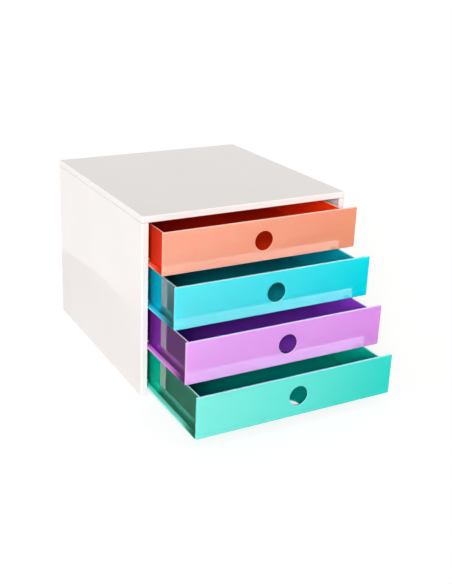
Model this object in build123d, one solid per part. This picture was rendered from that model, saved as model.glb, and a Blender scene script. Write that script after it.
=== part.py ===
from build123d import *
import os

# Scrapbook paper storage drawers: a white case of five panels on four feet,
# with four coloured drawers that slide on runners moulded into its sides.
# Millimetres. X runs to the right, -Y is the front and +Z is up.
# The origin is the middle of the case's underside, at its bottom edge.

# Case
case_width = 360.0
case_depth = 370.0
case_height = 294.0
wall = 3.0                    # thickness of the case's panels
back_thickness = 2.5          # the back panel slides in a groove, so it is thinner
side_strip = 10.0             # width of the front edge beside the drawers
rear_strip = 8.0              # the same at the back
top_strip = 10.4              # height of the top cover's lip
bottom_strip = 11.2           # height of the base's front lip
case_edge_radius = 1.5
seam_chamfer = 0.5            # the groove that shows where two panels meet
panel_fit = 0.2               # between two case panels that slot together

# Snap fits between the case's panels
tongue_thickness = 2.0
tongue_height = 6.0
tongue_root = 12.0
snap_length = 24.0
snap_height = 2.6
snap_depth = 0.9
snap_spacing = 120.0
snaps_per_side = 3
upstand_height = 5.0          # the base's side lips, which snap into the side panels

# Stiffening ribs under the top cover
cover_rib_count = 4
cover_rib_height = 4.0
cover_rib_thickness = 2.0

# Feet
foot_diameter = 14.0
foot_thickness = 3.0
foot_recess = 1.5
foot_inset = 30.0             # from the case's sides to a foot's middle
foot_fit = 0.1
foot_edge = 0.6

# Drawers, named from top to bottom, and how far each stands open
drawer_openings = {"coral": 48.7, "turquoise": 91.1, "lilac": 130.0, "mint": 166.4}
drawer_travel = 250.0         # from closed to the stop
panel_gap = 2.0               # between one drawer's front and the next
panel_side_gap = 0.6
panel_thickness = 3.0
panel_corner_radius = 1.5
panel_edge_radius = 1.0
drawer_wall = 2.8
drawer_floor = 2.5
rear_space = 14.0             # behind a closed drawer
rim_drop = 8.0                # from the front's top edge down to the rims
rim_radius = 1.0
inner_radius = 2.0            # where the floor meets the walls inside
flange_width = 10.8           # the ledge along each side, which the drawer runs on
flange_thickness = 2.6
finger_hole_diameter = 31.0
finger_hole_height = 32.4     # above the drawer's underside
floor_hole_diameter = 42.0    # for lifting the paper from below
floor_hole_setback = 27.0     # behind the drawer's front face
hole_edge = 0.8

# Runners
runner_thickness = 3.0
keeper_thickness = 2.2
runner_fit = 0.3              # running clearance above and below a flange
runner_setback = 10.0         # behind a closed drawer's front
runner_end = 3.0              # the end stop's thickness
flange_overlap = 1.0          # how far a runner stops short of the drawer's wall
keeper_overlap = 3.4
guide_count = 6
guide_thickness = 2.0
stop_tooth_height = 1.2
stop_tooth_length = 5.0
stop_fit = 0.5

# Places worked out from the sizes above
x_side = case_width / 2
x_inside = x_side - wall
x_opening = x_side - side_strip
y_front = -case_depth / 2
y_back = case_depth / 2
z_seam = case_height - top_strip
y_groove_back = y_back - wall - panel_fit
y_groove_front = y_groove_back - back_thickness

drawer_count = len(drawer_openings)
pitch = (z_seam - bottom_strip) / drawer_count
panel_height = pitch - panel_gap
panel_half_width = x_opening - panel_side_gap
tray_half_width = panel_half_width - flange_width
rim_height = panel_height - rim_drop
drawer_length = y_groove_front - rear_space - y_front
y_drawer_end = y_front + drawer_length
snap_places = [snap_spacing * (i - (snaps_per_side - 1) / 2) for i in range(snaps_per_side)]
z_cover_snap = z_seam + tongue_height / 2
z_base_snap = wall + upstand_height / 2


def block(x, y, z):
    """A box between two X, two Y and two Z values."""
    size = (x[1] - x[0], y[1] - y[0], z[1] - z[0])
    middle = ((x[0] + x[1]) / 2, (y[0] + y[1]) / 2, (z[0] + z[1]) / 2)
    return Pos(*middle) * Box(*size)


def drawer_bottom(row):
    """The height of a drawer's underside, with row 0 at the bottom."""
    return bottom_strip + panel_gap / 2 + row * pitch


def snap_row(x_from, x_to, z_middle, grow=0.0):
    """The snaps along one side, or their pockets when they grow by a clearance."""
    half_length = snap_length / 2 + grow
    half_height = snap_height / 2 + grow
    z = (z_middle - half_height, z_middle + half_height)
    return [block((x_from, x_to), (y - half_length, y + half_length), z) for y in snap_places]


def top_cover():
    """The lid: a plate with a lip all round, ribbed underneath."""
    outline = RectangleRounded(case_width, case_depth, case_edge_radius)
    cover = extrude(Pos(0, 0, z_seam) * outline, amount=top_strip)
    cover = fillet(cover.faces().sort_by(Axis.Z)[-1].edges(), case_edge_radius)
    cover = chamfer(cover.faces().sort_by(Axis.Z)[0].edges(), seam_chamfer)
    y_lip = (y_front + wall, y_back - wall)
    z_plate = case_height - wall
    cover -= block((-x_inside, x_inside), y_lip, (z_seam, z_plate))
    rib_space = case_depth / (cover_rib_count + 1)
    for i in range(cover_rib_count):
        y = y_front + rib_space * (i + 1)
        y_rib = (y - cover_rib_thickness / 2, y + cover_rib_thickness / 2)
        cover += block((-x_opening, x_opening), y_rib, (z_plate - cover_rib_height, z_plate))
    x_pocket = x_inside + snap_depth + panel_fit
    cover -= snap_row(x_inside, x_pocket, z_cover_snap, panel_fit)
    cover -= snap_row(-x_pocket, -x_inside, z_cover_snap, panel_fit)
    return cover


def runner(row):
    """One drawer's runner on the left panel: a ledge, a keeper and the guides between."""
    z_ledge = drawer_bottom(row) - runner_fit
    z_flange = drawer_bottom(row) + flange_thickness
    z_keeper = z_flange + stop_tooth_height + runner_fit
    y_start = y_front + panel_thickness + runner_setback
    y_stop = y_drawer_end + runner_fit
    y_end = y_stop + runner_end
    x_ledge = -tray_half_width - flange_overlap
    x_keeper = -tray_half_width - keeper_overlap
    shape = block((-x_inside, x_ledge), (y_start, y_end), (z_ledge - runner_thickness, z_ledge))
    shape += block((-x_inside, x_keeper), (y_start, y_end), (z_keeper, z_keeper + keeper_thickness))
    shape += block((-x_inside, x_keeper), (y_stop, y_end), (z_ledge, z_keeper))
    guide_space = (y_stop - y_start - guide_thickness) / guide_count
    for i in range(guide_count):
        y = y_start + guide_space * i
        shape += block((-x_inside, -x_opening), (y, y + guide_thickness), (z_ledge, z_keeper))
    y_tooth = y_drawer_end - stop_tooth_length - drawer_travel - stop_fit
    y_catch = (y_tooth - stop_tooth_length, y_tooth)
    shape += block((-x_opening, x_keeper), y_catch, (z_flange + runner_fit, z_keeper))
    return shape


def left_side_panel():
    """A side wall with front and rear strips, a tongue for the cover and four runners."""
    z_full = (0, z_seam)
    panel = block((-x_side, -x_inside), (y_front, y_back), z_full)
    panel += block((-x_side, -x_opening), (y_front, y_front + wall), z_full)
    x_rear = -x_side + rear_strip
    panel += block((-x_side, x_rear), (y_back - wall, y_back), z_full)
    panel = fillet(panel.edges().filter_by(Axis.Z).group_by(Axis.X)[0], case_edge_radius)
    panel = chamfer(panel.faces().sort_by(Axis.Z)[-1].edges(), seam_chamfer)
    x_tongue = -x_inside + panel_fit + tongue_thickness
    y_tongue = (y_front + 2 * wall, y_groove_front - 2 * wall)
    z_root = (z_seam - tongue_root, z_seam)
    panel += block((-x_inside, x_tongue), y_tongue, z_root)
    z_tongue = (z_seam, z_seam + tongue_height)
    panel += block((-x_inside + panel_fit, x_tongue), y_tongue, z_tongue)
    panel += snap_row(-x_inside - snap_depth, -x_inside + panel_fit, z_cover_snap)
    y_rail = (y_groove_front - panel_fit - guide_thickness, y_groove_front - panel_fit)
    panel += block((-x_side + wall, x_rear), y_rail, (wall + panel_fit, z_seam))
    for row in range(drawer_count):
        panel += runner(row)
    x_pocket = -x_inside - snap_depth - panel_fit
    panel -= snap_row(x_pocket, -x_inside, z_base_snap, panel_fit)
    return panel


def back_panel():
    """The back, which slides down the side panels' grooves onto the base."""
    x = x_inside - panel_fit
    z_top = case_height - wall - panel_fit
    return block((-x, x), (y_groove_front, y_groove_back), (wall, z_top))


def base_panel():
    """The floor of the case, with its front and rear lips and the feet's recesses."""
    x_plate = x_inside - panel_fit
    y_plate = (y_front + wall + panel_fit, y_back - wall - panel_fit)
    base = block((-x_plate, x_plate), y_plate, (0, wall))
    x_front = x_opening - panel_fit
    x_rear = x_side - rear_strip - panel_fit
    base += block((-x_front, x_front), (y_front, y_plate[0]), (0, bottom_strip))
    base += block((-x_rear, x_rear), (y_plate[1], y_back), (0, bottom_strip))
    y_upstand = (y_front + 2 * wall, y_groove_front - 2 * wall)
    z_upstand = (wall, wall + upstand_height)
    x_snap = x_plate + snap_depth
    for side in (-1, 1):
        x_upstand = sorted((side * x_plate, side * (x_plate - tongue_thickness)))
        base += block(x_upstand, y_upstand, z_upstand)
        base += snap_row(*sorted((side * x_plate, side * x_snap)), z_base_snap)
    for place in foot_places():
        base -= Pos(*place, foot_recess / 2) * Cylinder(foot_diameter / 2 + foot_fit, foot_recess)
    return base


def foot_places():
    """The middles of the feet: front left, front right, rear left and rear right."""
    x = x_side - foot_inset
    y = y_back - foot_inset
    return [(-x, -y), (x, -y), (-x, y), (x, y)]


def foot(place):
    """A rubber pad, seated in its recess, with a softened lower edge."""
    pad = Cylinder(foot_diameter / 2, foot_thickness)
    pad = fillet(pad.edges().group_by(Axis.Z)[0], foot_edge)
    return Pos(*place, foot_recess - foot_thickness / 2) * pad


def drawer_front():
    """The drawer's front panel, with rounded edges and the finger hole."""
    outline = Plane.XZ * Pos(0, panel_height / 2) * RectangleRounded(
        2 * panel_half_width, panel_height, panel_corner_radius)
    front = extrude(outline, amount=-panel_thickness)
    front = fillet(front.faces().sort_by(Axis.Y)[0].edges(), panel_edge_radius)
    hole = Cylinder(finger_hole_diameter / 2, 3 * panel_thickness, rotation=(90, 0, 0))
    front -= Pos(0, panel_thickness / 2, finger_hole_height) * hole
    rims = front.edges().filter_by(GeomType.CIRCLE)
    rims = [rim for rim in rims if abs(rim.radius - finger_hole_diameter / 2) < hole_edge / 2]
    return fillet(rims, hole_edge)


def drawer_tray():
    """The tray behind the front: floor, walls, the two flanges and the floor's hole."""
    length = (panel_thickness, drawer_length)
    tray = block((-tray_half_width, tray_half_width), length, (0, rim_height))
    x_inner = tray_half_width - drawer_wall
    y_inner = (panel_thickness, drawer_length - drawer_wall)
    hollow = block((-x_inner, x_inner), y_inner, (drawer_floor, 2 * rim_height))
    hollow = fillet(hollow.edges().filter_by(Axis.Z), inner_radius)
    hollow = fillet(hollow.faces().sort_by(Axis.Z)[0].edges(), inner_radius)
    tray -= hollow
    rims = tray.faces().sort_by(Axis.Z)[-1].edges()
    rims = [rim for rim in rims if rim.center().Y > panel_thickness + inner_radius]
    tray = fillet(rims, rim_radius)
    y_tooth = (drawer_length - stop_tooth_length, drawer_length)
    z_tooth = (flange_thickness, flange_thickness + stop_tooth_height)
    x_tooth = tray_half_width + keeper_overlap + runner_fit
    for side in (-1, 1):
        x = sorted((side * tray_half_width, side * panel_half_width))
        tray += block(x, length, (0, flange_thickness))
        x = sorted((side * x_tooth, side * panel_half_width))
        tray += block(x, y_tooth, z_tooth)
    hole = Cylinder(floor_hole_diameter / 2, 3 * drawer_floor)
    return tray - Pos(0, floor_hole_setback, drawer_floor / 2) * hole


def drawer():
    """One drawer with its front face on the XZ plane and its underside at zero."""
    return drawer_front() + drawer_tray()


def save(shape, name):
    export_step(shape, os.path.join("parts", name + ".step"))


os.makedirs("parts", exist_ok=True)

left = left_side_panel()
save(top_cover(), "top_cover")
save(left, "left_side_panel")
save(mirror(left, about=Plane.YZ), "right_side_panel")
save(back_panel(), "back_panel")
save(base_panel(), "base_panel")

foot_names = ("front_left_foot", "front_right_foot", "rear_left_foot", "rear_right_foot")
for name, place in zip(foot_names, foot_places()):
    save(foot(place), name)

closed_drawer = drawer()
for count, (colour, opening) in enumerate(drawer_openings.items(), start=1):
    place = Pos(0, y_front - opening, drawer_bottom(drawer_count - count))
    save(place * closed_drawer, colour + "_drawer")
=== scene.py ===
import math

import bmesh
import bpy
from mathutils import Matrix, Vector


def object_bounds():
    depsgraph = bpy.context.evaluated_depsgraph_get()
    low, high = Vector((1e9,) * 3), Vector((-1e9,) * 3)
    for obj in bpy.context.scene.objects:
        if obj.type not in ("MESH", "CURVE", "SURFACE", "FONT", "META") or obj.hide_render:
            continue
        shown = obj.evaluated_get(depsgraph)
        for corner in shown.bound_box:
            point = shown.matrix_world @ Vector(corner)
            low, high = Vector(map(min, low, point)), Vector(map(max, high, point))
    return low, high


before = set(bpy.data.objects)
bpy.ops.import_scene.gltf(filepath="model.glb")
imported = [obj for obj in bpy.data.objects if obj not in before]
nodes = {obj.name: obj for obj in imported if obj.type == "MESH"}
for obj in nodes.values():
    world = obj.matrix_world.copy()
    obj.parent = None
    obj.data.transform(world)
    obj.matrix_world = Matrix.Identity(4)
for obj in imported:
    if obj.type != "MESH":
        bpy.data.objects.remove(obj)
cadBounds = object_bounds()
scene = bpy.context.scene
print("frame loaded:", len(nodes), "nodes")

photoView = {
    "lookAt": (0.0, 0.0, 0.147),      # the middle of the case
    "azimuth": -26.36,                # degrees, below zero is to the left of the front
    "elevation": 19.38,
    "roll": 1.20,
    "distance": 1.5577,
    "across": -0.0299,                # a step sideways and one up, still facing the same way
    "up": 0.0171,
    "focalPixels": 878.3,
    "imageWidth": 452,
    "imageHeight": 584,
    "centreX": 175.4,                 # where the lens axis meets the picture
    "centreY": 245.6,
}


def addCamera(view):
    turn = math.radians(view["azimuth"])
    tilt = math.radians(view["elevation"])
    roll = math.radians(view["roll"])
    reach = math.cos(tilt)
    back = Vector((math.sin(turn) * reach, -math.cos(turn) * reach, math.sin(tilt)))
    level = Vector((0, 0, 1)).cross(back).normalized()
    upright = back.cross(level)
    right = level * math.cos(roll) + upright * math.sin(roll)
    up = upright * math.cos(roll) - level * math.sin(roll)
    lens = bpy.data.cameras.new("photoCamera")
    longSide = max(view["imageWidth"], view["imageHeight"])
    lens.lens = lens.sensor_width * view["focalPixels"] / longSide
    lens.shift_x = (view["imageWidth"] / 2 - view["centreX"]) / longSide
    lens.shift_y = (view["centreY"] - view["imageHeight"] / 2) / longSide
    camera = bpy.data.objects.new("photoCamera", lens)
    scene.collection.objects.link(camera)
    place = Vector(view["lookAt"]) + back * view["distance"]
    place += right * view["across"] + up * view["up"]
    facing = Matrix((right, up, back)).transposed().to_4x4()
    camera.matrix_world = Matrix.Translation(place) @ facing
    scene.camera = camera


addCamera(photoView)
scene.view_settings.view_transform = "Standard"
print("camera placed")

# Shading nodes by short names, for the studio and the plastics alike

noiseSpan = (0.3, 0.7)                # a noise texture's usual reach


def emptyTree(holder):
    holder.use_nodes = True
    holder.node_tree.nodes.clear()
    return holder.node_tree


def newMaterial(name):
    material = bpy.data.materials.new(name)
    return material, emptyTree(material)


def addNode(tree, kind, inputs, **settings):
    # Inputs go by name or number: a socket is linked in, and any other value is set
    node = tree.nodes.new(kind)
    for key, value in settings.items():
        setattr(node, key, value)
    for key, value in inputs.items():
        if isinstance(value, bpy.types.NodeSocket):
            tree.links.new(value, node.inputs[key])
        else:
            node.inputs[key].default_value = value
    return node


def calculate(tree, operation, first, second=0.0):
    return addNode(tree, "ShaderNodeMath", {0: first, 1: second}, operation=operation).outputs[0]


def product(tree, first, *others):
    for other in others:
        first = calculate(tree, "MULTIPLY", first, other)
    return first


def fade(tree, value, start, end, low=0.0, high=1.0, kind="SMOOTHSTEP"):
    inputs = {0: value, 1: start, 2: end, 3: low, 4: high}
    return addNode(tree, "ShaderNodeMapRange", inputs, interpolation_type=kind).outputs[0]


def blend(tree, share, first, second):
    # A Mix node's colours are its inputs 6 and 7 and its output 2
    inputs = {0: share, 6: first, 7: second}
    return addNode(tree, "ShaderNodeMix", inputs, data_type="RGBA").outputs[2]


def between(tree, share, first, second):
    # A Mix node's numbers are its inputs 2 and 3 and its output 0
    return addNode(tree, "ShaderNodeMix", {0: share, 2: first, 3: second}).outputs[0]


def noise(tree, place, scale, detail=2.0):
    inputs = {"Vector": place, "Scale": scale, "Detail": detail}
    return addNode(tree, "ShaderNodeTexNoise", inputs).outputs["Fac"]


def partPlace(tree):
    place = addNode(tree, "ShaderNodeTexCoord", {}).outputs["Object"]
    return place, addNode(tree, "ShaderNodeSeparateXYZ", {0: place}).outputs


def rayShare(tree, *kinds):
    # One for rays of these kinds, and nought for the others
    rays = addNode(tree, "ShaderNodeLightPath", {}).outputs
    share = rays[kinds[0]]
    for kind in kinds[1:]:
        share = calculate(tree, "MAXIMUM", share, rays[kind])
    return share


def mixShaders(tree, share, first, second):
    inputs = {0: share, 1: first.outputs[0], 2: second.outputs[0]}
    return addNode(tree, "ShaderNodeMixShader", inputs)


studio = {
    "white": (1.0, 1.0, 1.0, 1),
    "skyStrength": 0.428,
    "skyColour": (1.0, 0.955, 0.890, 1),
}

# Broad suns, each shining from its own direction towards the case
lamps = {
    "keyLamp": {
        "from": (-0.57, -0.76, 0.34),
        "strength": 3.36,
        "colour": (0.975, 1.0, 1.02),
        "softness": 24.0,             # degrees
    },
    "fillLamp": {
        "from": (-0.95, 0.10, 0.20),
        "strength": 0.61,
        "colour": (0.90, 0.97, 1.03),
        "softness": 50.0,
    },
    "backLamp": {
        "from": (0.78, 0.62, 0.06),
        "strength": 0.78,
        "colour": (1.0, 0.97, 0.95),
        "softness": 60.0,
    },
}


def addSky(settings):
    scene.world = bpy.data.worlds.new("studioSky")
    tree = emptyTree(scene.world)
    light = addNode(tree, "ShaderNodeBackground", {
        "Color": settings["skyColour"], "Strength": settings["skyStrength"]})
    white = addNode(tree, "ShaderNodeBackground", {"Color": settings["white"]})
    seen = rayShare(tree, "Is Camera Ray", "Is Glossy Ray", "Is Transmission Ray")
    mix = mixShaders(tree, seen, light, white)
    addNode(tree, "ShaderNodeOutputWorld", {"Surface": mix.outputs[0]})


def addLamp(name, settings):
    lamp = bpy.data.lights.new(name, "SUN")
    lamp.energy = settings["strength"]
    lamp.color = settings["colour"]
    lamp.angle = math.radians(settings["softness"])
    holder = bpy.data.objects.new(name, lamp)
    scene.collection.objects.link(holder)
    holder.rotation_mode = "QUATERNION"
    holder.rotation_quaternion = Vector(settings["from"]).to_track_quat("Z", "Y")
    holder.visible_glossy = False     # the gloss mirrors the paper and the white, not the lamps


addSky(studio)
for name, settings in lamps.items():
    addLamp(name, settings)
print("sky and lamps set")

floorSheet = {
    "size": 24.0,
    "colour": (0.80, 0.80, 0.80, 1),
    "glow": 0.74,                     # how much of the white a shadow leaves alone
    "shadeColour": (0.33, 0.33, 0.33, 1),
    # The sheet as gloss shows it, a painted pattern of light and shade: metres from the middle
    # of the case, and shares of the white
    "frontEdge": (-0.30, -0.36),      # from here on it lies in front of the case
    "leftToRight": (-0.62, -0.17),    # in front it darkens to the right
    "nearFronts": (-0.50, -0.46),     # and is brighter close to the fronts
    "farShare": 0.42,
    "nearShare": 0.97,
    "besideFronts": (-0.172, -0.160),  # to the left of the fronts it is dim
    "besideShare": 0.1,
    "shadeLine": -0.311,              # the case's painted shadow ends here, in a shallow curve
    "shadeMiddle": 0.31,
    "shadeBend": 0.5,
    "shadeSoftness": 0.003,
    "shadeShare": 0.09,
    "behind": (0.04, 0.32),           # past the painted shadow it brightens towards the back
    "behindShare": (0.05, 0.43),
}


def paperInFront(tree, axes, sheet):
    across = calculate(tree, "ADD", axes["X"], axes["Y"])
    across = fade(tree, across, *sheet["leftToRight"], 1.0, 0.0, kind="LINEAR")
    near = fade(tree, axes["Y"], *sheet["nearFronts"], sheet["farShare"], sheet["nearShare"])
    beside = fade(tree, axes["X"], *sheet["besideFronts"], sheet["besideShare"], 1.0)
    return product(tree, across, near, beside)


def paperBehind(tree, axes, sheet):
    along = calculate(tree, "SUBTRACT", axes["Y"], sheet["shadeMiddle"])
    bend = product(tree, along, along, sheet["shadeBend"])
    fromShade = calculate(tree, "SUBTRACT", axes["X"], sheet["shadeLine"])
    fromShade = calculate(tree, "SUBTRACT", fromShade, bend)
    paintedLight = fade(tree, fromShade, -sheet["shadeSoftness"], sheet["shadeSoftness"], 1.0, 0.0)
    paintedLight = product(tree, paintedLight, fade(tree, axes["Y"], *sheet["behind"], *sheet["behindShare"]))
    return calculate(tree, "ADD", paintedLight, sheet["shadeShare"])


def floorPaper(sheet, white):
    material, tree = newMaterial("floorPaper")
    axes = partPlace(tree)[1]
    lit = addNode(tree, "ShaderNodeBsdfDiffuse", {"Color": sheet["colour"]})
    glow = addNode(tree, "ShaderNodeEmission", {"Color": white, "Strength": sheet["glow"]})
    shade = addNode(tree, "ShaderNodeBsdfDiffuse", {"Color": sheet["shadeColour"]})
    shown = addNode(tree, "ShaderNodeAddShader", {0: glow.outputs[0], 1: shade.outputs[0]})
    # For gloss the sheet shows a painted pattern of light and shade, with the case's painted
    # shadow beside it
    inFront = fade(tree, axes["Y"], *sheet["frontEdge"])
    bright = between(
        tree, inFront, paperBehind(tree, axes, sheet), paperInFront(tree, axes, sheet))
    mirrored = addNode(tree, "ShaderNodeEmission", {"Color": white, "Strength": bright})
    mix = mixShaders(tree, rayShare(tree, "Is Camera Ray", "Is Transmission Ray"), lit, shown)
    mix = mixShaders(tree, rayShare(tree, "Is Glossy Ray"), mix, mirrored)
    addNode(tree, "ShaderNodeOutputMaterial", {"Surface": mix.outputs[0]})
    return material


def addFloor(sheet, white):
    mesh = bpy.data.meshes.new("floor")
    paper = bmesh.new()
    underside = Matrix.Translation((0, 0, cadBounds[0][2]))
    bmesh.ops.create_grid(
        paper, x_segments=1, y_segments=1, size=sheet["size"] / 2, matrix=underside)
    paper.to_mesh(mesh)
    paper.free()
    mesh.materials.append(floorPaper(sheet, white))
    floor = bpy.data.objects.new("floor", mesh)
    scene.collection.objects.link(floor)


addFloor(floorSheet, studio["white"])
print("floor laid")


def plasticSkin(tree, place, colour, speckColour, finish, ior, glowDepth):
    # Moulded plastic: fine specks in the colour, and a surface that is not quite flat
    speck = noise(tree, place, finish["speckScale"], finish["speckDetail"])
    speck = fade(tree, speck, *finish["speckSpan"], 0.0, finish["speckShare"])
    skin = noise(tree, place, finish["skinScale"], finish["skinDetail"])
    wave = noise(tree, place, finish["waveScale"], finish["waveDetail"])
    waves = addNode(tree, "ShaderNodeBump", {
        "Height": wave,
        "Strength": finish["waveStrength"],
        "Distance": finish["waveDepth"]})
    grain = addNode(tree, "ShaderNodeBump", {
        "Height": skin,
        "Strength": finish["skinStrength"],
        "Distance": finish["skinDepth"],
        "Normal": waves.outputs[0]})
    plastic = addNode(tree, "ShaderNodeBsdfPrincipled", {
        "Base Color": blend(tree, speck, colour, speckColour),
        "Roughness": fade(tree, skin, *noiseSpan, *finish["roughness"]),
        "Normal": grain.outputs[0],
        "IOR": ior,
        "Subsurface Weight": finish["glow"],
        "Subsurface Radius": finish["glowReach"],
        "Subsurface Scale": glowDepth})
    addNode(tree, "ShaderNodeOutputMaterial", {"Surface": plastic.outputs[0]})


def cloudy(tree, place, scale, colour, cloudColour):
    cloud = fade(tree, noise(tree, place, scale), *noiseSpan)
    return blend(tree, cloud, colour, cloudColour)


def lowest(name, axis):
    return min(getattr(vertex.co, axis) for vertex in nodes[name].data.vertices)


def highest(name, axis):
    return max(getattr(vertex.co, axis) for vertex in nodes[name].data.vertices)


def dress(name, *materials):
    slots = nodes[name].data.materials
    slots.clear()
    for material in materials:
        slots.append(material)


caseShell = {
    "colour": (0.800, 0.755, 0.735, 1),
    "cloudColour": (0.815, 0.771, 0.752, 1),
    "cloudScale": 7.0,
    "seamShadeAndDust": (0.56, 0.545, 0.53, 1),
    "seamWidth": 0.0009,
    "speckColour": (0.74, 0.72, 0.70, 1),
    "speckScale": 900.0,
    "speckDetail": 1.0,
    "speckSpan": (0.62, 0.80),
    "speckShare": 0.25,
    "roughness": (0.035, 0.065),
    "skinScale": 420.0,
    "skinDetail": 3.0,
    "skinStrength": 0.05,
    "skinDepth": 0.0002,
    "waveScale": 9.0,
    "waveDetail": 1.0,
    "waveStrength": 0.06,
    "waveDepth": 0.001,
    "ior": 1.5,
    "glow": 0.0,                      # the white plastic lets no light through
    "glowReach": (1.0, 1.0, 1.0),
    "glowDepth": 0.001,
}


def casePlastic(shell):
    # White, with a darker line at the seam where the top cover meets the sides: painted shade in
    # the gap, and dust
    material, tree = newMaterial("casePlastic")
    place, axes = partPlace(tree)
    colour = cloudy(tree, place, shell["cloudScale"], shell["colour"], shell["cloudColour"])
    # The seam's darker line: painted shade in the gap, and dust
    fromSeam = calculate(tree, "SUBTRACT", axes["Z"], lowest("top_cover", "z"))
    fromSeam = calculate(tree, "ABSOLUTE", fromSeam)
    seam = fade(tree, fromSeam, shell["seamWidth"] / 2, shell["seamWidth"], 1.0, 0.0)
    colour = blend(tree, seam, colour, shell["seamShadeAndDust"])
    plasticSkin(
        tree, place, colour, shell["speckColour"], shell, shell["ior"], shell["glowDepth"])
    return material


caseSkin = casePlastic(caseShell)
for name in ("top_cover", "left_side_panel", "right_side_panel", "back_panel", "base_panel"):
    dress(name, caseSkin)
print("case dressed")

# Metres, from a drawer's front face, its middle and its underside
drawerShape = {
    "frontDepth": 0.0032,             # the front panel, with a little of what is behind it
    "insideFrom": 0.0018,             # where the panel's inner half begins
    "holeHeight": 0.0324,
    "holeRadius": 0.0155,
    "holeEdge": 0.0002,               # how far past its edge the painted shade in the hole ends
    "ringFull": 0.0003,               # the painted highlight round the hole is full up to here
    "edgeWidth": 0.0008,              # the painted highlight along an edge
    "edgeFull": 0.0002,               # its outermost part, where it is full
    "trayHalfWidth": 0.1586,
    "rimHeight": 0.0581,
    "softness": 0.0005,               # over which one colour turns into the next
    "flangeThickness": 0.0028,
    "flangePaintedLight": (0.1621, 0.1642),   # from the middle, where the painted light on the flange begins
    "flangeShade": (0.012, 0.060),    # behind the front, where the flange leaves its painted shade
}

drawerFinish = {
    "cloudScale": 9.0,
    "speckScale": 1100.0,
    "speckDetail": 1.0,
    "speckSpan": (0.62, 0.80),
    "speckShare": 0.08,
    "roughness": (0.012, 0.028),
    "skinScale": 380.0,
    "skinDetail": 3.0,
    "skinStrength": 0.03,
    "skinDepth": 0.0001,
    "waveScale": 14.0,
    "waveDetail": 1.0,
    "waveStrength": 0.08,
    "waveDepth": 0.001,
    "paintedHighlightShare": 0.3,
    "frontIor": 3.0,
    "wallIor": 2.6,
    "flangeIor": 1.4,
    "trayIor": 1.55,
    "glow": 1.0,
    "glowReach": (1.0, 1.0, 1.0),
    "insideGlowDepth": 0.040,         # the panel's inner half is lit through from the front
    "trayGlowDepth": 0.002,
}

coralTint = {
    "front": (1.0, 0.352, 0.213, 1),
    "frontCloud": (1.0, 0.372, 0.228, 1),
    "inside": (1.0, 0.66, 0.55, 1),
    "tray": (1.0, 0.04, 0.002, 1),
    "trayCloud": (1.0, 0.055, 0.005, 1),
    "wallShade": (0.72, 0.038, 0.010, 1),
    "wall": (1.0, 0.05, 0.004, 1),
    "shadeEdge": (-0.185, -0.172),    # in front of this the walls carry painted shade
    "flange": (1.0, 0.26, 0.16, 1),
    "rim": (1.0, 0.62, 0.50, 1),
    "speck": (1.0, 0.5, 0.35, 1),
    "glowDepth": 0.0016,
}

turquoiseTint = {
    "front": (0.0, 0.74, 0.88, 1),
    "frontCloud": (0.001, 0.77, 0.91, 1),
    "inside": (0.58, 0.95, 1.0, 1),
    "tray": (0.0, 0.42, 0.54, 1),
    "trayCloud": (0.0, 0.46, 0.58, 1),
    "wallShade": (0.0, 0.12, 0.14, 1),
    "wall": (0.0, 0.42, 0.58, 1),
    "shadeEdge": (-0.214, -0.202),
    "flange": (0.05, 0.58, 0.72, 1),
    "rim": (0.45, 0.88, 0.93, 1),
    "speck": (0.02, 0.75, 0.86, 1),
    "glowDepth": 0.006,
}

lilacTint = {
    "front": (0.79, 0.332, 0.88, 1),
    "frontCloud": (0.81, 0.352, 0.90, 1),
    "inside": (0.97, 0.60, 0.94, 1),
    "tray": (0.34, 0.06, 0.66, 1),
    "trayCloud": (0.38, 0.07, 0.70, 1),
    "wallShade": (0.11, 0.014, 0.14, 1),
    "wall": (0.20, 0.022, 0.33, 1),
    "shadeEdge": (-0.214, -0.202),
    "flange": (0.70, 0.24, 0.74, 1),
    "rim": (0.85, 0.66, 0.92, 1),
    "speck": (0.75, 0.4, 0.85, 1),
    "glowDepth": 0.006,
}

mintTint = {
    "front": (0.02, 0.70, 0.60, 1),
    "frontCloud": (0.03, 0.72, 0.62, 1),
    "inside": (0.30, 0.98, 0.86, 1),
    "tray": (0.0, 0.52, 0.38, 1),
    "trayCloud": (0.0, 0.57, 0.42, 1),
    "wallShade": (0.0, 0.15, 0.085, 1),
    "wall": (0.0, 0.46, 0.31, 1),
    "shadeEdge": (-0.214, -0.202),
    "flange": (0.18, 0.70, 0.58, 1),
    "rim": (0.55, 0.92, 0.86, 1),
    "speck": (0.08, 0.80, 0.70, 1),
    "glowDepth": 0.006,
}


def drawerPlace(name):
    # Where the drawer's front face and underside are, and how big its front is
    underside = lowest(name, "z")
    return {
        "frontAt": lowest(name, "y"),
        "underside": underside,
        "halfWidth": highest(name, "x"),
        "height": highest(name, "z") - underside,
    }


def fromMiddle(tree, axes):
    return calculate(tree, "ABSOLUTE", axes["X"])


def fromFront(tree, axes, shape):
    return calculate(tree, "SUBTRACT", axes["Y"], shape["frontAt"])


def fromUnderside(tree, axes, shape):
    return calculate(tree, "SUBTRACT", axes["Z"], shape["underside"])


def fromHole(tree, axes, shape):
    above = calculate(tree, "SUBTRACT", fromUnderside(tree, axes, shape), shape["holeHeight"])
    squares = calculate(
        tree, "ADD", product(tree, axes["X"], axes["X"]), product(tree, above, above))
    return calculate(tree, "SUBTRACT", calculate(tree, "SQRT", squares), shape["holeRadius"])


def alongEdge(tree, value, edgeAt, shape):
    return fade(tree, value, edgeAt - shape["edgeWidth"], edgeAt - shape["edgeFull"])


def wallColour(tree, axes, tint):
    # Painted shade on the walls behind the fronts
    lit = fade(tree, axes["Y"], *tint["shadeEdge"])
    return blend(tree, lit, tint["wallShade"], tint["wall"])


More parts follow.
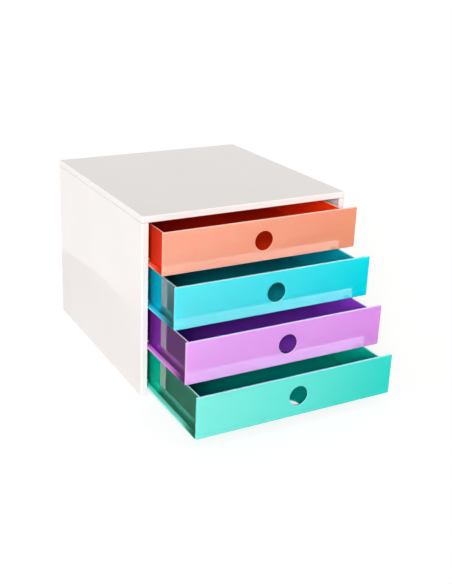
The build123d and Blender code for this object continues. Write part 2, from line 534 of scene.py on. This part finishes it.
def frontPlastic(name, tint, shape, finish):
    # Pale on the face, with a painted highlight along its edges and round the hole, a painted
    # glow on the panel's inner half, and painted shade in the hole
    material, tree = newMaterial(name)
    place, axes = partPlace(tree)
    face = cloudy(tree, place, finish["cloudScale"], tint["front"], tint["frontCloud"])
    insideEnd = shape["insideFrom"] + shape["softness"]
    inside = fade(tree, fromFront(tree, axes, shape), shape["insideFrom"], insideEnd)
    # A paler colour on the panel's inner half: painted glow of the light passing through it
    face = blend(tree, inside, face, tint["inside"])
    # Painted highlight along the front's side and top edges and round the hole
    side = alongEdge(tree, fromMiddle(tree, axes), shape["halfWidth"], shape)
    top = alongEdge(tree, fromUnderside(tree, axes, shape), shape["height"], shape)
    hole = fromHole(tree, axes, shape)
    paintedHoleHighlight = fade(tree, hole, shape["ringFull"], shape["edgeWidth"], 1.0, 0.0)
    paintedHighlight = calculate(tree, "MAXIMUM", calculate(tree, "MAXIMUM", side, top), paintedHoleHighlight)
    face = blend(tree, product(tree, paintedHighlight, finish["paintedHighlightShare"]), face, tint["rim"])
    # Painted shade on the hole's bore, in the walls' shade colour
    inHole = fade(tree, hole, 0.0, shape["holeEdge"], 1.0, 0.0)
    face = blend(tree, inHole, face, tint["wallShade"])
    depth = fade(tree, inside, 0.0, 1.0, tint["glowDepth"], finish["insideGlowDepth"])
    plasticSkin(tree, place, face, tint["speck"], finish, finish["frontIor"], depth)
    return material


def wallPlastic(name, tint, finish):
    # The outside of the walls
    material, tree = newMaterial(name)
    place, axes = partPlace(tree)
    wall = wallColour(tree, axes, tint)
    plasticSkin(
        tree, place, wall, tint["speck"], finish, finish["wallIor"], tint["glowDepth"])
    return material


def flangePlastic(name, tint, shape, finish):
    # The flanges that the drawer runs on, with painted light along their outer edge and painted
    # shade behind the front
    material, tree = newMaterial(name)
    place, axes = partPlace(tree)
    outer = fade(tree, fromMiddle(tree, axes), *shape["flangePaintedLight"])
    lit = fade(tree, fromFront(tree, axes, shape), *shape["flangeShade"])
    paintedLight = product(tree, outer, lit)
    flange = blend(tree, paintedLight, wallColour(tree, axes, tint), tint["flange"])
    plasticSkin(
        tree, place, flange, tint["speck"], finish, finish["flangeIor"], tint["glowDepth"])
    return material


def trayPlastic(name, tint, shape, finish):
    # Deep and clear within, with a painted highlight along the rims
    material, tree = newMaterial(name)
    place, axes = partPlace(tree)
    tray = cloudy(tree, place, finish["cloudScale"], tint["tray"], tint["trayCloud"])
    # Painted highlight along the rims
    rim = alongEdge(tree, fromUnderside(tree, axes, shape), shape["rimHeight"], shape)
    tray = blend(tree, rim, tray, tint["rim"])
    plasticSkin(
        tree, place, tray, tint["speck"], finish, finish["trayIor"], finish["trayGlowDepth"])
    return material


def drawerPart(corners, shape):
    # Which of the drawer's plastics a face has, by where its corners lie
    if max(corner.y for corner in corners) < shape["frontAt"] + shape["frontDepth"]:
        return "front"
    if min(abs(corner.x) for corner in corners) <= shape["trayHalfWidth"] - shape["softness"]:
        return "tray"
    if max(corner.z for corner in corners) < shape["underside"] + shape["flangeThickness"]:
        return "flange"
    return "wall"


def dressDrawer(colour, tint, shape, finish):
    name = colour + "_drawer"
    shape = {**shape, **drawerPlace(name)}
    plastics = {
        "tray": trayPlastic(colour + "TrayPlastic", tint, shape, finish),
        "front": frontPlastic(colour + "FrontPlastic", tint, shape, finish),
        "wall": wallPlastic(colour + "WallPlastic", tint, finish),
        "flange": flangePlastic(colour + "FlangePlastic", tint, shape, finish),
    }
    dress(name, *plastics.values())
    parts = list(plastics)
    mesh = nodes[name].data
    for face in mesh.polygons:
        corners = [mesh.vertices[corner].co for corner in face.vertices]
        face.material_index = parts.index(drawerPart(corners, shape))


dressDrawer("coral", coralTint, drawerShape, drawerFinish)
dressDrawer("turquoise", turquoiseTint, drawerShape, drawerFinish)
dressDrawer("lilac", lilacTint, drawerShape, drawerFinish)
dressDrawer("mint", mintTint, drawerShape, drawerFinish)
print("drawers dressed")

footPad = {
    "colour": (0.028, 0.028, 0.030, 1),
    "dust": (0.060, 0.058, 0.055, 1),
    "dustScale": 260.0,
    "dustDetail": 4.0,
    "dustSpan": (0.45, 0.75),
    "grainScale": 1500.0,
    "grainStrength": 0.3,
    "grainDepth": 0.0002,
    "roughness": (0.72, 0.90),
}


def padRubber(pad):
    material, tree = newMaterial("padRubber")
    place = partPlace(tree)[0]
    dust = noise(tree, place, pad["dustScale"], pad["dustDetail"])
    dust = fade(tree, dust, *pad["dustSpan"])
    grain = noise(tree, place, pad["grainScale"])
    bump = addNode(tree, "ShaderNodeBump", {
        "Height": grain,
        "Strength": pad["grainStrength"],
        "Distance": pad["grainDepth"]})
    rubber = addNode(tree, "ShaderNodeBsdfPrincipled", {
        "Base Color": blend(tree, dust, pad["colour"], pad["dust"]),
        "Roughness": fade(tree, grain, *noiseSpan, *pad["roughness"]),
        "Normal": bump.outputs[0]})
    addNode(tree, "ShaderNodeOutputMaterial", {"Surface": rubber.outputs[0]})
    return material


footSkin = padRubber(footPad)
for name in ("front_left_foot", "front_right_foot", "rear_left_foot", "rear_right_foot"):
    dress(name, footSkin)
print("feet dressed")
